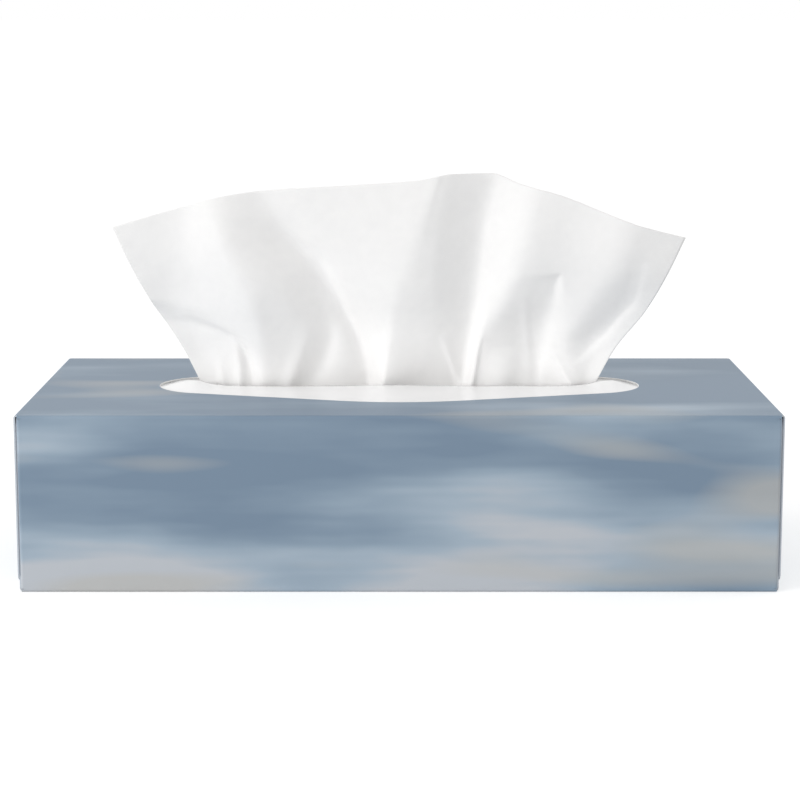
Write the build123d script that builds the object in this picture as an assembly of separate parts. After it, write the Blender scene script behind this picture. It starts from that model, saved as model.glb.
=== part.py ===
from build123d import *
import math
import os

# Carton: one sheet of folding box board, folded round into a tube, lapped and glued
box_length = 230.0
box_depth = 115.0
box_height = 54.0
board = 0.45
fold_inside = 0.45
glue_lap = 14.0
back_edge_lift = 0.3
lap_setback = 4.0

# End flaps: the top one lies outside, the bottom one under it, the two side ones inside
outer_flap_gap = 3.0
inner_flap_gap = 0.7
side_flap_length = 40.0
side_flap_taper = 5.0
side_flap_slope = 16.0
flap_corner = 3.0
flap_relief = 0.15
fold_run = 0.2

# Opening: an oval cut through the top panel, its cut edge slightly broken
opening_length = 154.0
opening_width = 66.4
opening_end_radius = 17.0
opening_flank_angle = 17.0
cut_edge = 0.2

# Film: glued under the top panel, with one slit along the opening
film = 0.1
film_end_margin = 11.0
film_side_margin = 8.8
slit_end_margin = 7.0
slit_width = 11.0
slit_end_radius = 1.2

# Stack: interfolded sheets, pressed flat
stack_end_clearance = 8.65
stack_side_clearance = 4.55
stack_gap = 3.0
fold_bundles = 10
bundle_bulge = 0.9

# Standing sheet: pulled up through the slit, gathered there and spreading above it
tissue = 0.3
tissue_spread = 183.0
tissue_height = 122.0
hem_fall = 20.6
fold_depth = 6.0
slit_side_clearance = 0.35
slit_end_clearance = 6.8
side_bow = 1.4

# Each fold line of the sheet, from the left edge to the right one, at the slit, a quarter,
# half and three quarters of the way up and at the top edge. The first numbers say where it
# stands there, as a share of the half width of the fan. The others say how far it stands out
# to the front: at the slit as a share of the room there, above it of the depth of the folds.
levels = (0.0, 0.25, 0.5, 0.75, 1.0)
fold_lines = [
    ((-1.00, -1.00, -1.00, -1.00, -1.00), (0.00, 0.00, -0.17, -0.07, 0.00)),
    ((-0.94, -0.94, -0.94, -0.90, -0.83), (-0.30, -0.10, -0.33, -0.20, -0.13)),
    ((-0.87, -0.85, -0.85, -0.83, -0.77), (0.00, 0.07, -0.15, -0.10, -0.08)),
    ((-0.70, -0.65, -0.63, -0.65, -0.66), (0.60, 0.83, 1.13, 0.90, 0.50)),
    ((-0.63, -0.60, -0.56, -0.58, -0.60), (0.30, 0.73, 0.97, 0.67, 0.33)),
    ((-0.55, -0.47, -0.48, -0.53, -0.57), (0.00, 0.30, 0.57, 0.30, 0.17)),
    ((-0.18, -0.20, -0.30, -0.41, -0.51), (-0.90, -1.00, -0.67, -0.43, -0.07)),
    ((-0.12, -0.10, -0.22, -0.30, -0.43), (0.60, -0.10, -0.10, -0.07, 0.05)),
    ((-0.07, -0.02, 0.01, 0.06, 0.12), (0.80, 0.43, 0.70, 0.60, 0.40)),
    ((0.12, 0.16, 0.13, 0.15, 0.19), (-0.40, 0.10, 0.40, 0.33, 0.20)),
    ((0.28, 0.32, 0.31, 0.30, 0.31), (-0.80, -0.63, -0.83, -0.83, -0.57)),
    ((0.34, 0.41, 0.46, 0.47, 0.49), (0.60, -0.03, 0.40, 0.43, 0.30)),
    ((0.68, 0.66, 0.64, 0.63, 0.63), (-0.90, -0.80, -0.07, 0.17, 0.17)),
    ((0.81, 0.76, 0.78, 0.80, 0.81), (0.60, -0.40, 0.37, 0.73, 0.53)),
    ((0.89, 0.86, 0.92, 0.90, 0.89), (-0.40, -0.67, -0.27, 0.07, 0.13)),
    ((1.00, 1.00, 1.00, 1.00, 1.00), (0.00, -0.33, -0.30, -0.47, -0.43)),
]

# How far the top edge lies below its highest point at shares of the half width, as a share
# of its fall to the right-hand corner
hem_drops = [
    (-1.00, 0.83),
    (-0.83, 0.61),
    (-0.61, 0.35),
    (-0.43, 0.26),
    (-0.12, 0.17),
    (0.06, 0.11),
    (0.19, 0.01),
    (0.32, 0.01),
    (0.42, 0.16),
    (0.56, 0.33),
    (0.70, 0.57),
    (0.84, 0.81),
    (1.00, 1.00),
]
strips_per_fold = 4
line_heights = [0.0, 0.05, 0.12, 0.25, 0.4, 0.6, 0.8, 1.0]
along_step = 0.02

# Places that follow from the sizes above
fold_outside = fold_inside + board
top_inside = box_height - board
film_bottom = top_inside - film
stack_top = film_bottom - stack_gap
outer_flap_face = box_length / 2
inner_flap_face = outer_flap_face - board
side_flap_face = inner_flap_face - board
top_end = outer_flap_face - fold_outside - fold_run
bottom_end = inner_flap_face - fold_outside - fold_run
wall_end = side_flap_face - fold_outside - fold_run
film_length = opening_length + 2 * film_end_margin
film_width = opening_width + 2 * film_side_margin
slit_length = opening_length - 2 * slit_end_margin
slit_foot = slit_length / 2 - slit_end_clearance
stack_length = 2 * (side_flap_face - board - stack_end_clearance)
stack_depth = box_depth - 2 * (board + stack_side_clearance)


def bent_board(plane, corners, start, end):
    """Board that follows a bent centre line on a plane, from one distance off it to another."""
    with BuildPart() as strip:
        with BuildSketch(plane.offset(start)):
            with BuildLine():
                FilletPolyline(*corners, radius=fold_inside + board / 2)
            trace(line_width=board)
        extrude(amount=end - start)
    return strip.part


def block(low, high):
    """A plain block between two corners."""
    size = [b - a for a, b in zip(low, high)]
    middle = [(a + b) / 2 for a, b in zip(low, high)]
    return Pos(*middle) * Box(*size)


def half_tube():
    """Right half of the panels: back, top, front and bottom, with the lap inside the back."""
    back = box_depth / 2 - board / 2
    inside_back = box_depth / 2 - board
    top = box_height - board / 2
    round_box = [(back, back_edge_lift), (back, top), (-back, top), (-back, board / 2), (0, board / 2)]
    lap = [(0, board / 2), (back - board, board / 2), (back - board, glue_lap)]
    tube = bent_board(Plane.YZ, round_box, 0, top_end) + bent_board(Plane.YZ, lap, 0, top_end)
    # The wall panels and the bottom end before the top does, as their flaps lie further in
    tube -= block(
        (wall_end, -box_depth, fold_outside),
        (box_length, box_depth, box_height - fold_outside),
    )
    tube -= block((wall_end, inside_back, 0), (box_length, box_depth, fold_outside))
    tube -= block(
        (bottom_end, fold_outside - box_depth / 2, 0),
        (box_length, inside_back - fold_outside, board),
    )
    tube -= block(
        (wall_end - lap_setback, inside_back - board, fold_outside + flap_relief),
        (box_length, inside_back, glue_lap),
    )
    return tube


def side_flap(side):
    """Short flap folded in from the front (-1) or back (1) panel, tapered to its free end."""
    wall = side * (box_depth / 2 - board / 2)
    face = side_flap_face - board / 2
    low = fold_outside + flap_relief
    high = box_height - fold_outside - flap_relief
    tip = side * (box_depth / 2 - side_flap_length)
    corners = [(wall_end, wall), (face, wall), (face, tip)]
    flap = bent_board(Plane.XY, corners, low, high)
    # Its top and bottom edges slope in, so that it clears the panels as it is folded
    root = side * (box_depth / 2 - fold_outside - side_flap_taper)
    drop = abs(tip - root) * math.tan(math.radians(side_flap_slope))
    for level, inward in ((high, -1), (low, 1)):
        with BuildPart() as wedge:
            with BuildSketch(Plane.YZ.offset(side_flap_face - 2 * board)):
                with BuildLine():
                    Polyline((root, level), (tip, level), (tip, level + inward * drop), close=True)
                make_face()
            extrude(amount=3 * board)
        flap -= wedge.part
    corner_edges = flap.edges().filter_by(Axis.X).group_by(Axis.Y)[0 if side > 0 else -1]
    return fillet(corner_edges, flap_corner)


def end_closure():
    """The four flaps at the right-hand end, glued face to face."""
    top = box_height - board / 2
    width = box_depth / 2 - fold_outside - flap_relief
    outer = outer_flap_face - board / 2
    inner = inner_flap_face - board / 2
    outer_flap = bent_board(
        Plane.XZ, [(top_end, top), (outer, top), (outer, outer_flap_gap)], -width, width
    )
    outer_flap = fillet(outer_flap.edges().filter_by(Axis.X).group_by(Axis.Z)[0], flap_corner)
    reach = top_inside - inner_flap_gap
    inner_flap = bent_board(
        Plane.XZ, [(bottom_end, board / 2), (inner, board / 2), (inner, reach)], board - width, width - board
    )
    inner_flap = fillet(inner_flap.edges().filter_by(Axis.X).group_by(Axis.Z)[-1], flap_corner)
    return outer_flap + inner_flap + side_flap(-1) + side_flap(1)


def opening_outline():
    """The oval of the opening: crown arcs, straight flanks and round ends, tangent throughout."""
    end_centre = opening_length / 2 - opening_end_radius
    flank = math.radians(opening_flank_angle)
    reach = end_centre * math.sin(flank) + opening_end_radius
    crown = (reach - opening_width / 2 * math.cos(flank)) / (1 - math.cos(flank))
    with BuildSketch() as outline:
        with BuildLine():
            top = CenterArc((0, opening_width / 2 - crown), crown, 90, -opening_flank_angle)
            end = CenterArc((end_centre, 0), opening_end_radius, 0, 90 - opening_flank_angle)
            Line(top @ 1, end @ 1)
            mirror(about=Plane.YZ)
            mirror(about=Plane.XZ)
        make_face()
    return outline.sketch


def carton():
    """The glued carton, with its opening."""
    half = half_tube() + end_closure()
    body = half + mirror(half, about=Plane.YZ)
    body -= Pos(0, 0, top_inside - board) * extrude(opening_outline(), amount=3 * board)
    panel = body.faces().filter_by(Axis.Z).sort_by(Axis.Z)[-1]
    return chamfer(panel.inner_wires()[0].edges(), cut_edge)


def slit_half_width(x):
    """Half the width of the slit at a place along it: a shallow arc from end to end."""
    half, rise = slit_length / 2, slit_width / 2
    radius = (half * half + rise * rise) / (2 * rise)
    return math.sqrt(radius * radius - x * x) - (radius - rise)


def film_window():
    """Clear film with its slit, under the top panel."""
    half, rise = slit_length / 2, slit_width / 2
    with BuildPart() as window:
        with BuildSketch(Plane.XY.offset(film_bottom)):
            Rectangle(film_length, film_width)
            with BuildLine():
                ThreePointArc((-half, 0), (0, rise), (half, 0))
                ThreePointArc((half, 0), (0, -rise), (-half, 0))
            make_face(mode=Mode.SUBTRACT)
            with Locations((-half, 0), (half, 0)):
                Circle(slit_end_radius, mode=Mode.SUBTRACT)
        extrude(amount=film)
    return window.part


def tissue_stack():
    """The interfolded sheets, whose folds bulge out in soft bundles along both long sides."""
    edge = stack_depth / 2 - bundle_bulge
    bundle = (stack_top - board) / fold_bundles
    with BuildPart() as stack:
        with BuildSketch(Plane.YZ.offset(-stack_length / 2)):
            with BuildLine():
                Line((-edge, board), (edge, board))
                for count in range(fold_bundles):
                    low = board + count * bundle
                    high = low + bundle
                    middle = (low + high) / 2
                    ThreePointArc((edge, low), (edge + bundle_bulge, middle), (edge, high))
                    ThreePointArc((-edge, low), (-edge - bundle_bulge, middle), (-edge, high))
                Line((-edge, stack_top), (edge, stack_top))
            make_face()
        extrude(amount=stack_length)
    return stack.part


def smooth_value(points, place):
    """The value at a place on a smooth line through points, which never overshoots them."""
    steps = [(b[1] - a[1]) / (b[0] - a[0]) for a, b in zip(points, points[1:])]
    slopes = [steps[0]]
    for before, after in zip(steps, steps[1:]):
        same_way = before * after > 0
        slopes.append(2 * before * after / (before + after) if same_way else 0.0)
    slopes.append(steps[-1])
    count = 0
    while count < len(steps) - 1 and place > points[count + 1][0]:
        count += 1
    (low, start), (high, end) = points[count], points[count + 1]
    run = high - low
    t = (place - low) / run
    return (
        start * (2 * t**3 - 3 * t**2 + 1)
        + end * (3 * t**2 - 2 * t**3)
        + slopes[count] * run * (t**3 - 2 * t**2 + t)
        + slopes[count + 1] * run * (t**3 - t**2)
    )


def between_folds(values, across):
    """A value at a place that counts fold lines, from its values on the fold lines."""
    return smooth_value(list(enumerate(values)), across)


def slit_lean(line):
    """How far a fold line stands out to the front in the slit."""
    places, outs = line
    room = slit_half_width(places[0] * slit_foot) - tissue / 2 - slit_side_clearance
    return outs[0] * room


def sheet_point(across, up):
    """A point on the middle of the standing sheet: across counts fold lines, up goes 0 to 1."""
    head_share = between_folds([places[-1] for places, outs in fold_lines], across)
    head_z = tissue_height - hem_fall * smooth_value(hem_drops, head_share)
    z = stack_top + (head_z - stack_top) * up
    # The sheet keeps its gathers until it is through the film, and opens above it
    rise = max(0.0, (z - box_height) / (head_z - box_height))
    half_width = slit_foot + (tissue_spread / 2 - slit_foot) * rise
    half_width += side_bow * math.sin(math.pi * rise**2)
    shares = []
    forward = []
    for line in fold_lines:
        places, outs = line
        depths = [slit_lean(line)] + [share * fold_depth for share in outs[1:]]
        shares.append(smooth_value(list(zip(levels, places)), rise))
        forward.append(smooth_value(list(zip(levels, depths)), rise))
    return Vector(half_width * between_folds(shares, across), -between_folds(forward, across), z)


def skin_point(across, up, offset):
    """A point of the sheet's front or back face: offset is its distance from the middle."""
    last = len(fold_lines) - 1
    left = sheet_point(max(0.0, across - along_step), up)
    right = sheet_point(min(last, across + along_step), up)
    outward = Vector((right - left).Y, -(right - left).X, 0).normalized()
    return sheet_point(across, up) + outward * offset


def upright(across, offset):
    """One upright line of the sheet's front or back face."""
    points = [skin_point(across, up, offset) for up in line_heights]
    return Edge.make_spline(points, parameters=line_heights)


def pulled_tissue():
    """The standing sheet: narrow strips between upright lines, closed round its edges."""
    count = (len(fold_lines) - 1) * strips_per_fold
    places = [number / strips_per_fold for number in range(count + 1)]
    front = [upright(across, tissue / 2) for across in places]
    back = [upright(across, -tissue / 2) for across in places]
    around = front + back[::-1]
    faces = [Face.make_surface_from_curves(a, b) for a, b in zip(around, around[1:] + around[:1])]
    # Small faces between the front and back lines close the foot and the top edge
    for end in (0, 1):
        rungs = [Edge.make_line(near @ end, far @ end) for near, far in zip(front, back)]
        faces += [Face.make_surface_from_curves(a, b) for a, b in zip(rungs, rungs[1:])]
    closed = Face.sew_faces(faces)
    return Solid(Shell(closed[0]))


if __name__ == "__main__":
    os.makedirs("parts", exist_ok=True)
    export_step(carton(), "parts/carton.step")
    export_step(film_window(), "parts/film_window.step")
    export_step(tissue_stack(), "parts/tissue_stack.step")
    export_step(pulled_tissue(), "parts/pulled_tissue.step")
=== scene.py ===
# %% [markdown]
# # A tissue box with one sheet pulled up
#
# The real object is a flat printed carton. An oval is cut in its lid, a film with a slit
# closes the oval, and a stack of folded sheets lies under the film. One sheet stands up
# through the slit and spreads like a fan.
#
# The construction is already drawn at its real size. This lesson loads it as a frame and
# gives each piece its finish: soft print on the carton, haze on the film, layers in the
# stack and a paper sheet with its own folds. Blender works in metres. Folds of paper are
# easier to think of in millimetres, so the tables below are in millimetres.
# %% Load the frame and measure it
import math
import random

import bpy
import numpy as np
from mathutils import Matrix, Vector, noise


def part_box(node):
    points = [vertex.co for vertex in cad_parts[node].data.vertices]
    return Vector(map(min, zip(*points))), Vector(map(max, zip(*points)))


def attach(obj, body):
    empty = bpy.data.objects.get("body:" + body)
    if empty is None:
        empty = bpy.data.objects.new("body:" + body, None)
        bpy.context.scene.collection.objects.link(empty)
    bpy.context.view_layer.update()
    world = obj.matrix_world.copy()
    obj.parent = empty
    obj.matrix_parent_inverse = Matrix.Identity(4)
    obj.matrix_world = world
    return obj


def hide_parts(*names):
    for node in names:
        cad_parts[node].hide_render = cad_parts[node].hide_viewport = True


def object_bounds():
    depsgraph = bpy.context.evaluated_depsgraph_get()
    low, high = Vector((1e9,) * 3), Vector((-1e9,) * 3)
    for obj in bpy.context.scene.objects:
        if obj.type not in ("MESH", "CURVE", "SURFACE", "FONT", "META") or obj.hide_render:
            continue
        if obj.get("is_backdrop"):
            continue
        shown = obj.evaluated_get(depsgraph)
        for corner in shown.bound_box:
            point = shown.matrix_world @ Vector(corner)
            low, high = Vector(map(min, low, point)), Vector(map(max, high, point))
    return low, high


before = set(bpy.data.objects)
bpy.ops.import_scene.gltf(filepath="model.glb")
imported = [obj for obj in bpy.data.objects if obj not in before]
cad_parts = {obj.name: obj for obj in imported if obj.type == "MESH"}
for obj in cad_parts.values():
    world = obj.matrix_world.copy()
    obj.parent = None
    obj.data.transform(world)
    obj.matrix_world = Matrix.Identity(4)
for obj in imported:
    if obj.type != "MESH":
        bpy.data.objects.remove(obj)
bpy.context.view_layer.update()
bpy.ops.object.select_all(action="DESELECT")

MM = 0.001
carton_low, carton_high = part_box("carton")
film_low, film_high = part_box("film_window")
stack_low, stack_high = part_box("tissue_stack")
sheet_low, sheet_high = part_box("pulled_tissue")
print("carton", [round(v / MM, 1) for v in carton_high - carton_low])
print("standing sheet", [round(v / MM, 1) for v in sheet_high - sheet_low])

# %% [markdown]
# ## The camera
#
# A product photograph like this one is taken from far away with a long lens, so that the
# box looks almost flat. The camera stands 0.72 m in front of the middle of the box and a
# little above it, and looks down by just under ten degrees. It is made first, because
# every later look at the picture depends on it.
# %% Set the camera
CAMERA_PLACE = (0.00022, -0.720, 0.1718)
CAMERA_DOWN = math.radians(9.68)
LENS = 101.8
SENSOR = 36.0

bpy.ops.object.camera_add(location=CAMERA_PLACE, rotation=(math.pi / 2 - CAMERA_DOWN, 0, 0))
camera = bpy.context.object
camera.name = "camera"
camera.data.lens = LENS
camera.data.sensor_width = SENSOR
bpy.context.scene.camera = camera
print("field of view", round(math.degrees(camera.data.angle), 1), "degrees")

# %% [markdown]
# ## Light, floor and background
#
# White paper on a white ground needs soft light with a clear direction, or its folds are
# lost. A large lamp stands low on the left, so that each fold has a light side and a grey
# one, and a weak lamp on the right keeps the greys open.
# %% Set the lamps
KEY_PLACE = (-1.5, -1.05, 0.45)
KEY_SIZE = 0.8
KEY_POWER = 14.0
FILL_PLACE = (1.4, -1.0, 0.7)
FILL_SIZE = 1.2
FILL_POWER = 1.5
LIGHT_AIM = Vector((0, 0, 0.07))


def area_light(name, place, size, power):
    """Adds a square lamp that looks at the object."""
    turn = (LIGHT_AIM - Vector(place)).to_track_quat("-Z", "Y").to_euler()
    bpy.ops.object.light_add(type="AREA", location=place, rotation=turn)
    lamp = bpy.context.object
    lamp.name = name
    lamp.data.size = size
    lamp.data.energy = power


area_light("key_light", KEY_PLACE, KEY_SIZE, KEY_POWER)
area_light("fill_light", FILL_PLACE, FILL_SIZE, FILL_POWER)
bpy.context.scene.view_settings.view_transform = "Standard"
print("lamps of", KEY_POWER, "and", FILL_POWER, "watts")

# %% [markdown]
# The sky lights the box softly from all round. Where the eye looks past the box, or meets the
# sky in a reflection or through a clear film, it sees pure white instead. That white is only
# seen and lights nothing, so a bright background doesn't wash out the paper. Small helpers
# for nodes come first here, because every finish below uses them.
# %% Mix the sky
SKY_LIGHT = 0.79
WHITE = (1, 1, 1, 1)

world = bpy.data.worlds.new("studio")
bpy.context.scene.world = world
world.use_nodes = True
sky = world.node_tree
sky.nodes.clear()


def link(tree, source, target):
    """Joins the output of one node to the input of another."""
    tree.links.new(source, target)


def value_of(tree, operation, first, second=None):
    """A Math node. Each input is a number or the output of another node."""
    node = tree.nodes.new("ShaderNodeMath")
    node.operation = operation
    for socket, given in zip(node.inputs, (first, second)):
        if isinstance(given, (int, float)):
            socket.default_value = given
        elif given is not None:
            link(tree, given, socket)
    return node.outputs[0]


def seen_directly(tree):
    """One where the eye, a reflection or a clear film looks at the surface, and zero elsewhere."""
    path = tree.nodes.new("ShaderNodeLightPath")
    eye = value_of(tree, "MAXIMUM", path.outputs["Is Camera Ray"], path.outputs["Is Glossy Ray"])
    return value_of(tree, "MAXIMUM", eye, path.outputs["Is Transmission Ray"])


light_sky = sky.nodes.new("ShaderNodeBackground")
light_sky.inputs["Color"].default_value = WHITE
light_sky.inputs["Strength"].default_value = SKY_LIGHT
white_sky = sky.nodes.new("ShaderNodeBackground")
white_sky.inputs["Color"].default_value = WHITE
sky_mix = sky.nodes.new("ShaderNodeMixShader")
link(sky, seen_directly(sky), sky_mix.inputs["Fac"])
link(sky, light_sky.outputs[0], sky_mix.inputs[1])
link(sky, white_sky.outputs[0], sky_mix.inputs[2])
sky_out = sky.nodes.new("ShaderNodeOutputWorld")
link(sky, sky_mix.outputs[0], sky_out.inputs["Surface"])
print("sky mixed from", len(sky.nodes), "nodes")

# %% [markdown]
# The floor is so wide that its far edge lies at the horizon. To the eye it glows a little,
# which lifts the open floor to pure white and leaves a pale shadow round the box. To the
# box it is only a pale floor, so this glow lights nothing.
# %% Lay the floor
FLOOR_SIZE = 120.0
FLOOR_COLOUR = (0.78, 0.78, 0.78, 1)
FLOOR_GLOW = 0.42


def new_material(name):
    """A material with its shader, its output left joined, ready for more nodes."""
    material = bpy.data.materials.new(name)
    material.use_nodes = True
    tree = material.node_tree
    return material, tree, tree.nodes["Principled BSDF"]


bpy.ops.mesh.primitive_plane_add(size=FLOOR_SIZE, location=(0, 0, 0))
floor = bpy.context.object
floor.name = "floor"
floor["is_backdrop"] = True
floor_material, tree, shader = new_material("pale_floor")
shader.inputs["Base Color"].default_value = FLOOR_COLOUR
shader.inputs["Roughness"].default_value = 1.0
shader.inputs["Specular IOR Level"].default_value = 0.0
shader.inputs["Emission Color"].default_value = WHITE
link(tree, value_of(tree, "MULTIPLY", seen_directly(tree), FLOOR_GLOW), shader.inputs["Emission Strength"])
floor.data.materials.append(floor_material)
print("floor", FLOOR_SIZE, "m wide")

# %% [markdown]
# ## Helpers for sheets
#
# Film and paper are grids of points. A smooth line through a few chosen places is enough to
# say how an edge rises or where a fold runs. The line used here never swings past its
# places, so a flat stretch stays flat.
# %% Draw smooth lines


def smooth(knots, values, places):
    """Values at many places on a smooth line through knots, which never overshoots them.

    values may hold one line, or one line per column.
    """
    knots = np.asarray(knots, float)
    values = np.asarray(values, float)
    steps = np.diff(values, axis=0) / np.diff(knots).reshape((-1,) + (1,) * (values.ndim - 1))
    before, after = steps[:-1], steps[1:]
    total = np.where(before * after > 0, before + after, 1.0)
    inner = np.where(before * after > 0, 2 * before * after / total, 0.0)
    slopes = np.concatenate([steps[:1], inner, steps[-1:]])
    places = np.clip(np.asarray(places, float), knots[0], knots[-1])
    span = np.clip(np.searchsorted(knots, places, side="right") - 1, 0, len(knots) - 2)
    run = knots[span + 1] - knots[span]
    t = (places - knots[span]) / run
    if values.ndim > 1:
        t = t[:, None]
        run = run[:, None]
    return (
        values[span] * (2 * t**3 - 3 * t**2 + 1)
        + values[span + 1] * (3 * t**2 - 2 * t**3)
        + slopes[span] * run * (t**3 - 2 * t**2 + t)
        + slopes[span + 1] * run * (t**3 - t**2)
    )


print("between 0, 3 and 3 the line is at", smooth((0, 1, 2), (0, 3, 3), (0.5, 1.5)).round(2))

# %% [markdown]
# A sheet starts as Blender's own grid. Its points are then moved in one go to the places that
# were worked out for them, and Solidify gives it its thickness.
# %% Make grids and thicken them


def grid_piece(name, points):
    """A grid whose points are moved to the given rows of places, in millimetres."""
    rows, columns = points.shape[:2]
    bpy.ops.object.select_all(action="DESELECT")
    bpy.ops.mesh.primitive_grid_add(x_subdivisions=columns - 1, y_subdivisions=rows - 1)
    piece = bpy.context.object
    piece.name = name
    piece.data.vertices.foreach_set("co", (points * MM).reshape(-1))
    piece.data.update()
    bpy.ops.object.shade_smooth()
    return piece


def only(piece):
    """Makes one piece the selected and active one."""
    bpy.ops.object.select_all(action="DESELECT")
    piece.select_set(True)
    bpy.context.view_layer.objects.active = piece


def thicken(piece, thickness):
    """Gives a sheet its thickness, half to each side."""
    only(piece)
    solidify = piece.modifiers.new("thickness", "SOLIDIFY")
    solidify.thickness = thickness
    solidify.offset = 0.0
    bpy.ops.object.modifier_apply(modifier=solidify.name)


# %% [markdown]
# ## The film
#
# The film is glued flat under the lid. The sheets that were pulled through have lifted the
# near lip of the slit and pushed the far one down, so the film bulges gently between the
# rim of the opening and the slit. The opening, the slit and its two lips are the same on the
# left and on the right, so each is drawn once, from the middle outwards.
# %% Draw the opening and the slit
SLIT_LEVEL = carton_high.z / MM
FILM_LEVEL = (film_low.z + film_high.z) / 2 / MM
FILM_THICKNESS = film_high.z - film_low.z
SLIT_HALF_LENGTH = 70.0
SLIT_HALF_WIDTH = 5.5
OPENING_HALF_LENGTH = 77.0

# Half the width of the opening at places along it
RIM = [
    (0.0, 33.2),
    (20.0, 30.9),
    (40.0, 24.2),
    (60.0, 17.0),
    (68.0, 14.9),
    (73.0, 10.9),
    (76.0, 5.7),
    (OPENING_HALF_LENGTH, 0.0),
]

# How far the lips of the slit stand above the flat film, or below it, at places along it
NEAR_LIP = [
    (0.0, 1.3),
    (18.0, 1.0),
    (34.0, 0.7),
    (54.0, 0.6),
    (60.0, 1.0),
    (65.0, 2.0),
    (68.0, 2.1),
    (71.0, 1.6),
    (73.5, 0.8),
    (77.0, 0.0),
    (90.0, 0.0),
]
FAR_LIP = [
    (0.0, -0.5),
    (40.0, -1.0),
    (56.0, -1.6),
    (65.0, -1.2),
    (70.0, 1.8),
    (73.5, 0.8),
    (77.0, 0.0),
    (90.0, 0.0),
]


def along(table, x):
    """A value from a table of places, the same on the left and the right."""
    places, values = zip(*table)
    return smooth(places, values, np.abs(x))


def slit_half(x):
    """Half the width of the slit at a place along it."""
    return np.maximum(0.0, SLIT_HALF_WIDTH * (1 - (x / SLIT_HALF_LENGTH) ** 2))


def rim_half(x):
    """Half the width of the opening at a place along it."""
    return np.where(np.abs(x) < OPENING_HALF_LENGTH, along(RIM, x), 0.0)


print("slit", 2 * SLIT_HALF_LENGTH, "mm long and", 2 * SLIT_HALF_WIDTH, "mm wide")

# %% [markdown]
# The film is built as a near and a far half. Each is a grid from the outer edge of the film to
# the slit. Outside the opening it is flat, and from the rim inwards it rises or falls to its
# lip, with a faint wave. A little beyond the ends of the slit the two halves meet, and their
# points are merged there, so that the film is one piece.
# %% Model the film
FILM_COLUMNS = 300
FILM_ROWS = 34
NEAR_HOLD = 1.0
FAR_HOLD = 3.0
LEAST_ROOM = 0.5
MERGE_WITHIN = 0.01 * MM

# The faint wave of the film: its height, its length and width, and how the halves differ
WAVE_HEIGHT = 0.25
WAVE_LENGTH = 14.0
WAVE_WIDTH = 60.0
WAVE_STEP = 4.0


def film_half(side, lip, hold):
    """The points of the near (-1) or far (1) half of the film, from its outer edge to the slit.

    The higher the hold, the closer to the slit the film starts to rise or fall. The far
    half's rows are turned round, so that both halves face up.
    """
    x = np.linspace(film_low.x, film_high.x, FILM_COLUMNS + 1) / MM
    outer = film_high.y / MM
    inner = slit_half(x)
    rim = rim_half(x)
    rows = []
    for row in range(FILM_ROWS + 1):
        y = outer + (inner - outer) * row / FILM_ROWS
        free = np.clip((rim - y) / np.maximum(rim - inner, LEAST_ROOM), 0.0, 1.0)
        lift = along(lip, x) * (free**2 * (3 - 2 * free)) ** hold
        spots = [Vector((a / WAVE_LENGTH, side * WAVE_STEP, b / WAVE_WIDTH)) for a, b in zip(x, y)]
        wave = np.array([noise.noise(spot) for spot in spots])
        lift = lift + WAVE_HEIGHT * wave * free * (slit_half(x) > 0)
        rows.append(np.stack([x, side * y, FILM_LEVEL + lift], axis=1))
    return np.array(rows if side < 0 else rows[::-1])


near_film = grid_piece("near_film", film_half(-1, NEAR_LIP, NEAR_HOLD))
film = grid_piece("slit_film", film_half(1, FAR_LIP, FAR_HOLD))
only(film)
near_film.select_set(True)
bpy.ops.object.join()
bpy.ops.object.mode_set(mode="EDIT")
bpy.ops.mesh.select_all(action="SELECT")
bpy.ops.mesh.remove_doubles(threshold=MERGE_WITHIN)
bpy.ops.object.mode_set(mode="OBJECT")
thicken(film, FILM_THICKNESS)
print("film", len(film.data.polygons), "faces")

# %% [markdown]
# All finishes below need the same few nodes: the place on the object, stretched along its
# axes, the three parts of that place, soft noise there, and a bump made from a height. The
# place is taken from Object coordinates, because those stay with the piece.
# %% Make helpers for finishes
SOFT_DETAIL = 1.0
FINE_DETAIL = 2.0


def object_coordinates(tree, scale=(1, 1, 1), move=(0, 0, 0)):
    """The place on the object, stretched by a scale along each axis."""
    coordinates = tree.nodes.new("ShaderNodeTexCoord")
    mapping = tree.nodes.new("ShaderNodeMapping")
    mapping.inputs["Scale"].default_value = scale
    mapping.inputs["Location"].default_value = move
    link(tree, coordinates.outputs["Object"], mapping.inputs["Vector"])
    return mapping.outputs[0]


def parts_of(tree, vector):
    """The X, Y and Z of a vector."""
    node = tree.nodes.new("ShaderNodeSeparateXYZ")
    link(tree, vector, node.inputs[0])
    return node.outputs


def noise_field(tree, place, detail):
    """Soft noise from zero to one at a place."""
    field = tree.nodes.new("ShaderNodeTexNoise")
    field.inputs["Scale"].default_value = 1.0
    field.inputs["Detail"].default_value = detail
    link(tree, place, field.inputs["Vector"])
    return field.outputs["Fac"]


def bump_from(tree, height, strength, distance, shader):
    """Joins a height to a shader as a bump."""
    bump = tree.nodes.new("ShaderNodeBump")
    bump.inputs["Strength"].default_value = strength
    bump.inputs["Distance"].default_value = distance
    link(tree, height, bump.inputs["Height"])
    link(tree, bump.outputs["Normal"], shader.inputs["Normal"])


print("noise has a detail of", SOFT_DETAIL, "or", FINE_DETAIL)

# %% [markdown]
# Film of this kind is clear but a little milky, and it shines. The sheets below press
# against its near half, which therefore looks white. Its far half lies free and stays
# clearer, so the alpha changes across the slit. Fine pull lines run from the slit outwards,
# far too low to model, so they are a bump.
# %% Mix the film
FILM_WHITE = (0.98, 0.975, 0.975, 1)
NEAR_ALPHA = 0.97
FAR_ALPHA = 0.5
CLEARING = 3.0 * MM
FILM_ROUGHNESS = 0.16
FILM_IOR = 1.6
PULL_LINE_SCALE = (160, 25, 25)
PULL_LINE_BUMP = 0.25
PULL_LINE_HEIGHT = 0.6 * MM

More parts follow.
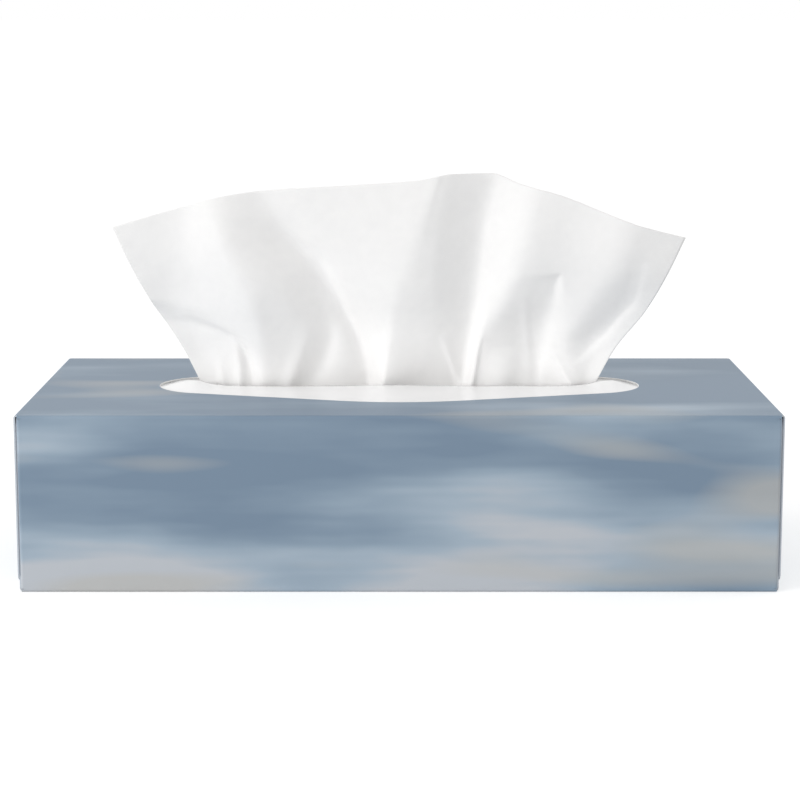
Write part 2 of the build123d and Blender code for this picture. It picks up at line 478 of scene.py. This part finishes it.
clear_film, tree, shader = new_material("clear_film")
shader.inputs["Base Color"].default_value = FILM_WHITE
shader.inputs["Roughness"].default_value = FILM_ROUGHNESS
shader.inputs["IOR"].default_value = FILM_IOR
clearing = tree.nodes.new("ShaderNodeMapRange")
clearing.inputs["From Min"].default_value = -CLEARING
clearing.inputs["From Max"].default_value = CLEARING
clearing.inputs["To Min"].default_value = NEAR_ALPHA
clearing.inputs["To Max"].default_value = FAR_ALPHA
link(tree, parts_of(tree, object_coordinates(tree))["Y"], clearing.inputs["Value"])
link(tree, clearing.outputs[0], shader.inputs["Alpha"])
pull_lines = noise_field(tree, object_coordinates(tree, PULL_LINE_SCALE), FINE_DETAIL)
bump_from(tree, pull_lines, PULL_LINE_BUMP, PULL_LINE_HEIGHT, shader)
film.data.materials.append(clear_film)
print("film alpha", NEAR_ALPHA, "at the near half and", FAR_ALPHA, "at the far half")

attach(film, "root")
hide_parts("film_window")

# %% [markdown]
# ## The stack
#
# The sheets inside are folded in half and laid into each other, so both long sides of the
# stack are rounded folds. One bundle is modelled once: a block whose four long edges are
# found by their direction and bevelled round.
# %% Model one bundle
BUNDLES = 10
BUNDLE_ROUNDING = 2.2 * MM
ROUNDING_STEPS = 5
BUNDLE_SHIFT = 0.35 * MM
BUNDLE_GAP = 0.06 * MM

stack_size = stack_high - stack_low
bundle_height = stack_size.z / BUNDLES
bundle_size = (
    stack_size.x - 2 * BUNDLE_SHIFT,
    stack_size.y - 2 * BUNDLE_SHIFT,
    bundle_height - BUNDLE_GAP,
)
bpy.ops.object.select_all(action="DESELECT")
bpy.ops.mesh.primitive_cube_add(size=1, location=(0, 0, 0), scale=bundle_size)
bpy.ops.object.transform_apply(location=False, rotation=False, scale=True)
bundle = bpy.context.object
bpy.ops.object.mode_set(mode="EDIT")
bpy.ops.mesh.select_mode(type="EDGE")
bpy.ops.mesh.select_all(action="DESELECT")
bpy.ops.object.mode_set(mode="OBJECT")
for edge in bundle.data.edges:
    ends = [bundle.data.vertices[v].co for v in edge.vertices]
    edge.select = abs(ends[0].x - ends[1].x) > bundle_height
bpy.ops.object.mode_set(mode="EDIT")
bpy.ops.mesh.bevel(offset=BUNDLE_ROUNDING, segments=ROUNDING_STEPS)
bpy.ops.object.mode_set(mode="OBJECT")
print("one bundle", len(bundle.data.polygons), "faces")

# %% [markdown]
# The other bundles are copies of the first, each with its own mesh. Each one is shifted a
# little, as sheets are when they are boxed, and then all are joined to one stack.
# %% Lay the bundles on each other
SHIFT_SEED = 7
SMOOTH_UNDER = math.radians(40)

random.seed(SHIFT_SEED)
bundles = [bundle]
for number in range(1, BUNDLES):
    copy = bundle.copy()
    copy.data = bundle.data.copy()
    bpy.context.collection.objects.link(copy)
    bundles.append(copy)
bpy.ops.object.select_all(action="DESELECT")
for number, copy in enumerate(bundles):
    shift_x = random.uniform(-BUNDLE_SHIFT, BUNDLE_SHIFT)
    shift_y = random.uniform(-BUNDLE_SHIFT, BUNDLE_SHIFT)
    middle_z = stack_low.z + (number + 0.5) * bundle_height
    copy.location = ((stack_low.x + stack_high.x) / 2 + shift_x, shift_y, middle_z)
    copy.select_set(True)
bpy.context.view_layer.objects.active = bundle
bpy.ops.object.join()
bpy.ops.object.transform_apply(location=True, rotation=False, scale=False)
stack = bpy.context.object
stack.name = "folded_stack"
bpy.ops.object.shade_smooth_by_angle(angle=SMOOTH_UNDER)
print("stack", len(stack.data.polygons), "faces")

# %% [markdown]
# ## Paper
#
# Tissue is white and quite rough. Its surface has a fine crepe from the drying roll and a
# faint cloudiness where the fibres lie thicker. Both are too small to model, so the crepe
# is a bump and the cloudiness a slight change of colour.
# %% Mix the tissue paper
PAPER_LIGHT = (0.940, 0.932, 0.922, 1)
PAPER_GREY = (0.900, 0.892, 0.885, 1)
PAPER_ROUGHNESS = 0.95
PAPER_SHINE = 0.12
CLOUD_SIZE = 3.0 * MM
CREPE_SIZE = 0.5 * MM
CREPE_STRETCH = (0.4, 1.0, 1.0)
CREPE_BUMP = 0.10
PAPER_HEIGHT = 0.2 * MM


def blend_colours(tree, amount, first, second):
    """A Mix node for colours, each given as a colour or as the output of another node."""
    mix = tree.nodes.new("ShaderNodeMix")
    mix.data_type = "RGBA"
    link(tree, amount, mix.inputs["Factor"])
    for socket, given in zip((mix.inputs[6], mix.inputs[7]), (first, second)):
        if isinstance(given, tuple):
            socket.default_value = given
        else:
            link(tree, given, socket)
    return mix.outputs[2]


def paper_material(name, crepe_stretch):
    """White paper whose crepe is stretched along one axis."""
    material, tree, shader = new_material(name)
    shader.inputs["Roughness"].default_value = PAPER_ROUGHNESS
    shader.inputs["Specular IOR Level"].default_value = PAPER_SHINE
    clouds = noise_field(tree, object_coordinates(tree, (1 / CLOUD_SIZE,) * 3), FINE_DETAIL)
    link(tree, blend_colours(tree, clouds, PAPER_GREY, PAPER_LIGHT), shader.inputs["Base Color"])
    crepe_scale = [share / CREPE_SIZE for share in crepe_stretch]
    crepe = noise_field(tree, object_coordinates(tree, crepe_scale), FINE_DETAIL)
    return material, tree, shader, crepe


paper, tree, shader, crepe = paper_material("tissue_paper", CREPE_STRETCH)
bump_from(tree, crepe, CREPE_BUMP, PAPER_HEIGHT, shader)
print("paper clouds", CLOUD_SIZE / MM, "mm and crepe", CREPE_SIZE / MM, "mm across")

# %% [markdown]
# The stack has the same paper. On it the edges of the plies show as fine lines, so a wave
# that follows the height is added to the crepe before both become the bump.
# %% Finish the stack
PLY_PITCH = 0.33 * MM
PLY_STRETCH = (0.2, 0.2, 1.0)
PLY_CREPE_SHARE = 0.5
PLY_WAVE_SHARE = 0.3
PLY_BUMP = 0.5

plies, tree, shader, crepe = paper_material("tissue_plies", PLY_STRETCH)
pitches = parts_of(tree, object_coordinates(tree, (1, 1, 1 / PLY_PITCH)))["Z"]
waves = value_of(tree, "SINE", value_of(tree, "MULTIPLY", pitches, 2 * math.pi))
waves = value_of(tree, "MULTIPLY", waves, PLY_WAVE_SHARE)
lines = value_of(tree, "ADD", value_of(tree, "MULTIPLY", crepe, PLY_CREPE_SHARE), waves)
bump_from(tree, lines, PLY_BUMP, PAPER_HEIGHT, shader)
stack.data.materials.clear()
stack.data.materials.append(plies)

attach(stack, "root")
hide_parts("tissue_stack")
print("stack finished with plies every", PLY_PITCH / MM, "mm")

# %% [markdown]
# ## The standing sheet
#
# The sheet is gathered in the slit, so it is folded to and fro there, and the folds open
# upwards. Each main fold is drawn from the slit to the top edge: where it stands
# across the sheet at five heights, and how far it comes forward there. A smooth line is
# laid through these places, first up each fold and then across all of them.
# %% Draw the main folds
# Each fold: x at the slit, a quarter, half and three quarters of the way up, and at the top
# edge. Then how far forward there: first a share of the slit, then millimetres.
FOLDS = {
    "left edge": ((-63.8, -70.4, -78.8, -85.8, -91.5), (0.0, 0.0, -1.0, -0.4, 0.0)),
    "left flap": ((-59.0, -66.0, -73.0, -75.0, -75.0), (-0.3, -0.6, -2.0, -1.0, -0.8)),
    "bulge foot": ((-56.0, -60.0, -66.5, -69.0, -70.0), (0.0, 0.5, -0.9, -0.4, -0.5)),
    "left bulge": ((-43.6, -44.8, -48.6, -55.4, -60.0), (0.6, 5.2, 6.9, 5.3, 2.4)),
    "bulge shoulder": ((-39.6, -41.2, -42.8, -49.6, -55.5), (0.3, 4.4, 5.6, 3.7, 2.0)),
    "hollow start": ((-34.5, -33.0, -37.5, -45.0, -52.5), (0.0, 1.8, 3.6, 1.6, 1.2)),
    "long crease": ((-10.0, -13.2, -23.0, -33.6, -43.5), (-0.8, -4.4, -3.6, -2.5, -1.1)),
    "crease ridge": ((-7.2, -6.6, -15.0, -24.0, -34.0), (0.0, -0.6, -0.2, 0.0, 0.4)),
    "front crest": ((-4.8, -1.8, 1.0, 5.5, 11.0), (0.6, 1.7, 4.0, 3.4, 2.4)),
    "column start": ((7.5, 10.0, 9.8, 11.0, 15.0), (-0.4, -0.3, 2.5, 2.2, 1.4)),
    "column": ((19.5, 22.3, 24.4, 26.8, 30.8), (-0.8, -4.0, -4.5, -4.6, -3.3)),
    "right crest": ((24.0, 28.0, 36.6, 41.0, 45.0), (0.4, 0.0, 1.7, 2.3, 1.4)),
    "leaf": ((45.0, 46.5, 50.5, 54.5, 57.5), (-0.8, -2.8, -0.2, 1.4, 1.0)),
    "right ridge": ((54.5, 55.0, 62.0, 69.0, 73.0), (0.5, -1.2, 1.2, 3.4, 2.8)),
    "right valley": ((60.0, 62.5, 72.5, 77.0, 80.5), (-0.5, -2.4, -0.5, 1.8, 1.3)),
    "right edge": ((62.9, 69.6, 78.9, 85.7, 91.5), (0.0, -1.0, -0.4, 0.1, -1.0)),
}

# Height of the top edge at places across it
HEM = [
    (-91.5, 104.9),
    (-76.0, 109.4),
    (-56.0, 114.8),
    (-39.5, 116.8),
    (-11.0, 118.6),
    (5.5, 119.8),
    (17.5, 121.8),
    (29.5, 121.8),
    (38.5, 118.7),
    (51.0, 115.2),
    (64.0, 110.2),
    (77.0, 105.3),
    (91.5, 101.4),
]
fold_x = np.array([places for places, forward in FOLDS.values()])
fold_out = np.array([forward for places, forward in FOLDS.values()])
print(len(FOLDS), "main folds")

# %% [markdown]
# Some creases don't run straight from the slit to the top edge. They are drawn as strokes:
# a line across the sheet, how far the paper is pushed out along it, and how far that push
# reaches to its left and to its right.
# %% Draw the strokes
# Each stroke: heights, x at those heights, push at those heights, reach left, reach right.
# A reach is one number, or one for each height.
STROKES = {
    "pocket line": (
        (54, 58.5, 63, 67, 70, 72.4, 74.4, 76.4),
        (-47.2, -47.8, -48.8, -51.0, -54.3, -59.0, -64.0, -69.0),
        (-1.0, -1.4, -1.6, -1.5, -1.2, -0.9, -0.5, 0.0),
        2.2,
        0.8,
    ),
    "pocket pleat": ((54, 60, 68, 72), (-51.5, -51.5, -52.5, -54), (0.9, 0.7, 0.5, 0.0), 1.3, 1.3),
    "pocket pleat left": ((54, 58, 64), (-57.0, -57.4, -58.5), (0.7, 0.5, 0.0), 1.4, 1.4),
    "hollow": (
        (54, 62, 70, 80, 90),
        (-28.6, -25.2, -23.2, -26.0, -31.0),
        (-0.8, -1.7, -1.7, -0.8, 0.0),
        4.8,
        3.4,
    ),
    "hollow pleat": ((54, 60, 68, 74), (-35.2, -33.2, -30.4, -29.0), (1.1, 0.9, 0.5, 0.0), 3.0, 2.0),
    "hollow ridge": ((54, 62, 70, 76), (-18.5, -18.5, -18.8, -19.5), (0.5, 0.3, 0.1, 0.0), 3.4, 3.4),
    "long crease": (
        (58, 67, 77, 88, 94, 101, 108),
        (-10.4, -12.6, -17.8, -23.0, -25.8, -33.8, -42.5),
        (-0.6, -1.2, -1.7, -1.8, -1.7, -1.1, 0.0),
        (2.6, 3.4, 5.0, 6.0, 6.0, 6.0, 6.0),
        2.0,
    ),
    "column pleat": ((54, 60, 66, 71), (19.8, 17.5, 15.2, 13.4), (1.2, 1.0, 0.6, 0.0), 1.2, 2.2),
    "column crease": (
        (54, 68.5, 84.7, 100.7, 118),
        (20.0, 22.0, 24.2, 26.2, 29.6),
        (-0.5, -0.7, -0.5, -0.5, -0.4),
        4.5,
        2.6,
    ),
    "crest crease": ((54, 60, 66, 70), (24.8, 25.8, 26.8, 28.0), (-1.3, -1.2, -0.6, 0.0), 1.0, 4.0),
    "leaf foot": ((54, 60, 66), (33.0, 34.6, 36.0), (1.0, 0.6, 0.0), 3.6, 3.4),
    "leaf rib": ((54, 66, 76, 84), (42.0, 41.6, 40.8, 39.6), (0.1, 0.3, 0.3, 0.0), 1.4, 1.4),
    "right pleat": ((54, 58, 62, 66), (55.4, 53.0, 51.0, 49.0), (0.6, 0.5, 0.4, 0.0), 1.2, 1.2),
    "right lobe": (
        (60, 62, 66.8, 71.7, 76.5, 81.4, 92, 98),
        (54.4, 57.0, 62.0, 67.0, 70.6, 74.8, 77.0, 78.0),
        (0.0, -0.7, -1.1, -1.0, -0.8, -0.5, -0.2, 0.0),
        6.0,
        1.6,
    ),
}
print(len(STROKES), "strokes")

# %% [markdown]
# A patch lies between two such lines. Where one fold lies over the next, the covered paper
# is pushed back up to a clear border, and that border reads as the edge of the upper fold.
# %% Draw the patches
# Each patch: heights, its left and right border and its push at those heights, how soft the
# two borders are, and what share of the push it has at its left border
PATCHES = {
    "pocket": (
        (54, 58.5, 63, 67, 70, 72.4, 74.4, 76.4, 78.4, 81.4),
        (-100,) * 10,
        (-45.2, -45.6, -46.6, -49.0, -52.2, -57.2, -62.4, -69.0, -74.4, -80),
        (-1.2, -2.0, -2.4, -2.5, -2.5, -2.6, -2.6, -2.4, -1.8, 0.0),
        (1.0, (1.0, 1.0, 1.1, 1.3, 1.6, 2.0, 2.5, 3.0, 3.2, 3.2)),
        1.0,
    ),
    "leaf": (
        (54, 60, 66, 73, 79, 84, 87, 89, 90.5),
        (24.3, 24.8, 25.8, 27.6, 29.0, 32.8, 36.2, 40.4, 51.0),
        (45.5, 46.2, 47.2, 48.8, 50.2, 51.0, 51.2, 51.3, 51.4),
        (-0.6, -2.3, -3.8, -3.5, -2.6, -1.8, -1.4, -1.0, 0.0),
        ((0.9, 0.9, 0.9, 1.1, 1.5, 1.8, 1.6, 1.4, 1.4), (1.0, 1.6, 2.6, 3.0, 2.6, 1.6, 1.0, 0.8, 0.8)),
        0.2,
    ),
}
print(len(PATCHES), "patches")

# %% [markdown]
# Every stroke and patch adds its push to the sheet at the same time, so a place near two of
# them gets both. A stroke's push fades to its sides like a bell, and a patch's push fades
# quickly at its two borders. Both are measured square to the line, so that a slanted crease
# is as narrow as an upright one.
# %% Push the sheet
SLOPE_STEP = 0.5
LEAST_PATCH = 0.1


def at_heights(heights, values, z):
    """One number as it is, or numbers that were given for each height, at many heights."""
    return smooth(heights, values, z) if isinstance(values, tuple) else values


def beyond(heights, line, x, z):
    """How far places lie to the right of a line across the sheet, square to the line."""
    lean = smooth(heights, line, z + SLOPE_STEP) - smooth(heights, line, z - SLOPE_STEP)
    return (x - smooth(heights, line, z)) / np.sqrt(1 + (lean / (2 * SLOPE_STEP)) ** 2)


def push_at(x, z):
    """How far all strokes and patches push the sheet forward at many places."""
    total = np.zeros_like(x)
    for heights, line, push, left, right in STROKES.values():
        away = beyond(heights, line, x, z)
        reach = np.where(away < 0, at_heights(heights, left, z), at_heights(heights, right, z))
        total += smooth(heights, push, z) * np.exp(-((away / reach) ** 2))
    for heights, left, right, push, softness, start in PATCHES.values():
        past_left = beyond(heights, left, x, z)
        past_right = beyond(heights, right, x, z)
        share = np.clip(past_left / np.maximum(past_left - past_right, LEAST_PATCH), 0.0, 1.0)
        from_left = (1 + np.tanh(past_left / at_heights(heights, softness[0], z))) / 2
        to_right = (1 - np.tanh(past_right / at_heights(heights, softness[1], z))) / 2
        total += smooth(heights, push, z) * from_left * to_right * (start + (1 - start) * share)
    return total


sample_push = push_at(np.array([-23.2]), np.array([70.0]))[0]
print("the hollow is pushed", round(-sample_push, 2), "mm back at a height of 70 mm")

# %% [markdown]
# Three small helpers come before the sheet. Paper can't pass through the film, so one says
# how much room the slit leaves. Paper doesn't fold as sharply as lines on a drawing, so one
# rounds the corners. And soft paper is never quite smooth between its folds, so one adds
# small dents.
# %% Make room, round corners and add dents
LIP_CLEARANCE = 0.5
SOFTENING = 7
SOFTENING_TURNS = 2

# Size and height of the small dents
DENTS = ((18.0, 0.35), (6.0, 0.10), (2.5, 0.03))


def slit_room(x):
    """How far the sheet may lean to either side in the slit, at a place along it."""
    return np.maximum(0.0, slit_half(x) - LIP_CLEARANCE)


def soft(values):
    """Values with their corners rounded, by the mean of each one and its neighbours."""
    for turn in range(SOFTENING_TURNS):
        padded = np.pad(values, SOFTENING // 2, mode="reflect", reflect_type="odd")
        values = np.convolve(padded, np.ones(SOFTENING) / SOFTENING, mode="valid")
    return values


def dents(x, z):
    """Small uneven dents at many places."""
    total = np.zeros_like(x)
    for size, height in DENTS:
        total += [height * noise.noise(Vector((a / size, b / size, size))) for a, b in zip(x, z)]
    return total


print("room in the middle of the slit", slit_room(0.0), "mm to each side")

# %% [markdown]
# The sheet itself starts as a flat grid. Every point of the grid is moved to its place on
# the folds. Near the slit it is held back, so that it stays clear of the film's lips, and it
# may lean out further the higher it is above them. The columns of the grid are spread over
# the folds by how wide each one is. Then the grid gets its thickness.
# %% Model the standing sheet
SHEET_COLUMNS = 340
SHEET_ROWS = 124
FOOT_ROWS = 4
PLY = 0.2 * MM
LEVELS = (0.0, 0.25, 0.5, 0.75, 1.0)
OPENING_OUT = 1.5
DENTS_FULL_AT = 0.2


def sheet_points():
    """Every point of the sheet's middle, row by row from the foot up."""
    fold_numbers = np.arange(len(FOLDS))
    widths = np.diff(fold_x[:, 0]) + np.diff(fold_x[:, 4])
    share = np.concatenate([[0.0], np.cumsum(widths)]) / widths.sum()
    across = np.interp(np.linspace(0, 1, SHEET_COLUMNS + 1), share, fold_numbers)
    head_z = smooth(*zip(*HEM), smooth(fold_numbers, fold_x[:, 4], across))
    foot_z = sheet_low.z / MM
    out_at_levels = fold_out.T.copy()
    out_at_levels[0] *= slit_room(fold_x[:, 0])
    rows = []
    for row in range(SHEET_ROWS + 1):
        rise = max(0.0, (row - FOOT_ROWS) / (SHEET_ROWS - FOOT_ROWS))
        below = max(0.0, 1 - row / FOOT_ROWS)
        z = SLIT_LEVEL + (head_z - SLIT_LEVEL) * rise + (foot_z - SLIT_LEVEL) * below
        x = soft(smooth(fold_numbers, smooth(LEVELS, fold_x.T, [rise])[0], across))
        out = soft(smooth(fold_numbers, smooth(LEVELS, out_at_levels, [rise])[0], across))
        out = out + push_at(x, z) + dents(x, z) * min(1.0, rise / DENTS_FULL_AT)
        above_near = z - FILM_LEVEL - along(NEAR_LIP, x) - LIP_CLEARANCE
        above_far = z - SLIT_LEVEL - LIP_CLEARANCE
        near = slit_room(x) + OPENING_OUT * np.maximum(0.0, above_near)
        far = slit_room(x) + OPENING_OUT * np.maximum(0.0, above_far)
        rows.append(np.stack([x, -np.clip(out, -far, near), z], axis=1))
    return np.array(rows)


sheet = grid_piece("standing_tissue", sheet_points())
thicken(sheet, PLY)
sheet.data.materials.append(paper)
print("standing sheet", len(sheet.data.polygons), "faces")

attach(sheet, "root")
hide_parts("pulled_tissue")

# %% [markdown]
# ## Print on the carton
#
# The carton's own solid has the right folds, flaps and cut edges, so it stays and gets a
# better finish. Only its outside is printed. A point is printed if it lies on one of the
# six outer planes and looks outwards there. The rest is raw board: the inside, the cut edge
# of the opening and the thin edges of the end flaps. Those thin edges get painted shade.
# %% Find the printed side
# How deep the outer skin is taken to be, and how far out in it a point must lie
SKIN = 0.5 * MM
FACING = 0.02 * MM

# Half the length and width of a box just round the opening
RIM_LONG = 78.0 * MM
RIM_WIDE = 34.0 * MM

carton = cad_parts["carton"]
printed_board, tree, shader = new_material("printed_board")


def vector_of(tree, operation, first, second=None):
    """A Vector Math node. Each input is a vector or the output of another node."""
    node = tree.nodes.new("ShaderNodeVectorMath")
    node.operation = operation
    for socket, given in zip(node.inputs, (first, second)):
        if isinstance(given, (tuple, list, Vector)):
            socket.default_value = given
        elif given is not None:
            link(tree, given, socket)
    return node.outputs[0]


half_size = (carton_high - carton_low) / 2
middle = (carton_high + carton_low) / 2
texture = tree.nodes.new("ShaderNodeTexCoord")
place = vector_of(tree, "SUBTRACT", texture.outputs["Object"], middle)
facing = texture.outputs["Normal"]
reach = vector_of(tree, "MULTIPLY", place, facing)
limit = vector_of(tree, "MULTIPLY", vector_of(tree, "ABSOLUTE", facing), half_size - Vector((SKIN,) * 3))
outside = parts_of(tree, vector_of(tree, "SUBTRACT", reach, limit))
furthest = value_of(tree, "MAXIMUM", value_of(tree, "MAXIMUM", outside[0], outside[1]), outside[2])
on_skin = value_of(tree, "GREATER_THAN", furthest, FACING)

# The cut edge of the opening reaches into that skin, so it is left out by its place
across = parts_of(tree, vector_of(tree, "ABSOLUTE", place))
height = parts_of(tree, place)[2]
in_opening = value_of(
    tree,
    "MULTIPLY",
    value_of(tree, "LESS_THAN", across[0], RIM_LONG),
    value_of(tree, "LESS_THAN", across[1], RIM_WIDE),
)
under_lid = value_of(
    tree,
    "MULTIPLY",
    value_of(tree, "GREATER_THAN", height, 0.0),
    value_of(tree, "LESS_THAN", height, half_size.z - FACING),
)
cut = value_of(tree, "MULTIPLY", in_opening, under_lid)
printed = value_of(tree, "MULTIPLY", on_skin, value_of(tree, "SUBTRACT", 1.0, cut))
print("printed planes at", [round(v / MM, 1) for v in half_size], "mm from the middle")

# %% [markdown]
# The print is a soft blur of blues, greys and cream in long level bands, like something
# seen out of focus. Three layers of noise that are stretched along the box make it: a large
# one for the bands, a smaller one that frays them and a faint one of thin streaks. The tone
# gets darker towards the top of the walls and the back of the lid, and then picks its colour
# from a ramp that runs from dark blue to pale grey.
# %% Mix the bands of the print
# Each layer: its scale, where it starts, its detail and its share of the tone
PRINT_LAYERS = [
    ((9.0, 26.0, 46.0), (3.1, 1.7, 0.4), SOFT_DETAIL, 2.0),
    ((28.0, 70.0, 120.0), (7.3, 2.2, 5.1), FINE_DETAIL, 0.45),
    ((22.0, 110.0, 300.0), (1.9, 4.6, 8.3), SOFT_DETAIL, 0.24),
]
DARKER_UP = -9.0
DARKER_BACK = -1.2
TONE_SHIFT = -0.95
PRINT_TONES = [
    (0.20, (0.165, 0.235, 0.320, 1)),
    (0.38, (0.205, 0.280, 0.365, 1)),
    (0.55, (0.265, 0.345, 0.430, 1)),
    (0.74, (0.345, 0.425, 0.505, 1)),
    (0.94, (0.480, 0.510, 0.550, 1)),
]

up_fall = value_of(tree, "MULTIPLY", height, DARKER_UP)
back_fall = value_of(tree, "MULTIPLY", parts_of(tree, place)[1], DARKER_BACK)
tone = value_of(tree, "ADD", value_of(tree, "ADD", up_fall, back_fall), TONE_SHIFT)
for scale, start, detail, share in PRINT_LAYERS:
    layer = noise_field(tree, object_coordinates(tree, scale, start), detail)
    tone = value_of(tree, "ADD", tone, value_of(tree, "MULTIPLY", layer, share))
ramp = tree.nodes.new("ShaderNodeValToRGB")
while len(ramp.color_ramp.elements) < len(PRINT_TONES):
    ramp.color_ramp.elements.new(0.5)
for element, (position, colour) in zip(ramp.color_ramp.elements, PRINT_TONES):
    element.position = position
    element.color = colour
link(tree, tone, ramp.inputs["Fac"])
print("print mixed from", len(PRINT_LAYERS), "layers and", len(PRINT_TONES), "tones")

# %% [markdown]
# A last noise turns some places of the print towards cream. The board that isn't printed is
# white inside and at the cut edge of the opening. At the two ends the flaps' thin edges lie
# in shade beside the print, so there the board gets painted shade: a blue grey like the
# print's lightest tone, laid over the board's own greyish edge.
# Print is a little glossy and raw board is dull.
# %% Warm the print and finish the board
WARM_SCALE = (10.0, 26.0, 60.0)
WARM_START = (0.6, 9.0, 2.4)
WARM_FROM = 0.56
WARM_GAIN = 5.0
WARM_MOST = 0.6
CREAM = (0.47, 0.46, 0.43, 1)
RAW_BOARD = (0.86, 0.86, 0.85, 1)
# Painted shade: the blue grey given to the flaps' thin edges, which lie in shade
FLAP_EDGE_SHADE = (0.54, 0.58, 0.63, 1)
FLAP_ZONE = 3.0 * MM
BOARD_ROUGHNESS = 0.85
PRINT_SMOOTHER = 0.4

warm = noise_field(tree, object_coordinates(tree, WARM_SCALE, WARM_START), SOFT_DETAIL)
warmth = value_of(tree, "MULTIPLY", value_of(tree, "SUBTRACT", warm, WARM_FROM), WARM_GAIN)
warmth = value_of(tree, "MINIMUM", value_of(tree, "MAXIMUM", warmth, 0.0), WARM_MOST)
warmed = blend_colours(tree, warmth, ramp.outputs["Color"], CREAM)
# Paint shade on the thin flap edges at the two ends instead of the raw board's white
shaded_flap_edges = value_of(tree, "GREATER_THAN", across[0], half_size.x - FLAP_ZONE)
unprinted = blend_colours(tree, shaded_flap_edges, RAW_BOARD, FLAP_EDGE_SHADE)
link(tree, blend_colours(tree, printed, unprinted, warmed), shader.inputs["Base Color"])
smoother = value_of(tree, "MULTIPLY", printed, PRINT_SMOOTHER)
link(tree, value_of(tree, "SUBTRACT", BOARD_ROUGHNESS, smoother), shader.inputs["Roughness"])
carton.data.materials.clear()
carton.data.materials.append(printed_board)
print("carton finished with", len(tree.nodes), "nodes")

# %% [markdown]
# ## Sizes
#
# Two of the pieces are sheets. The standing sheet is the upper part of a square sheet 210 mm
# wide, and the film is as large as its solid. The size of the box round the finished model
# is printed.
low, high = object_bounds()
print("finished model", [round(v / MM, 1) for v in high - low], "mm")
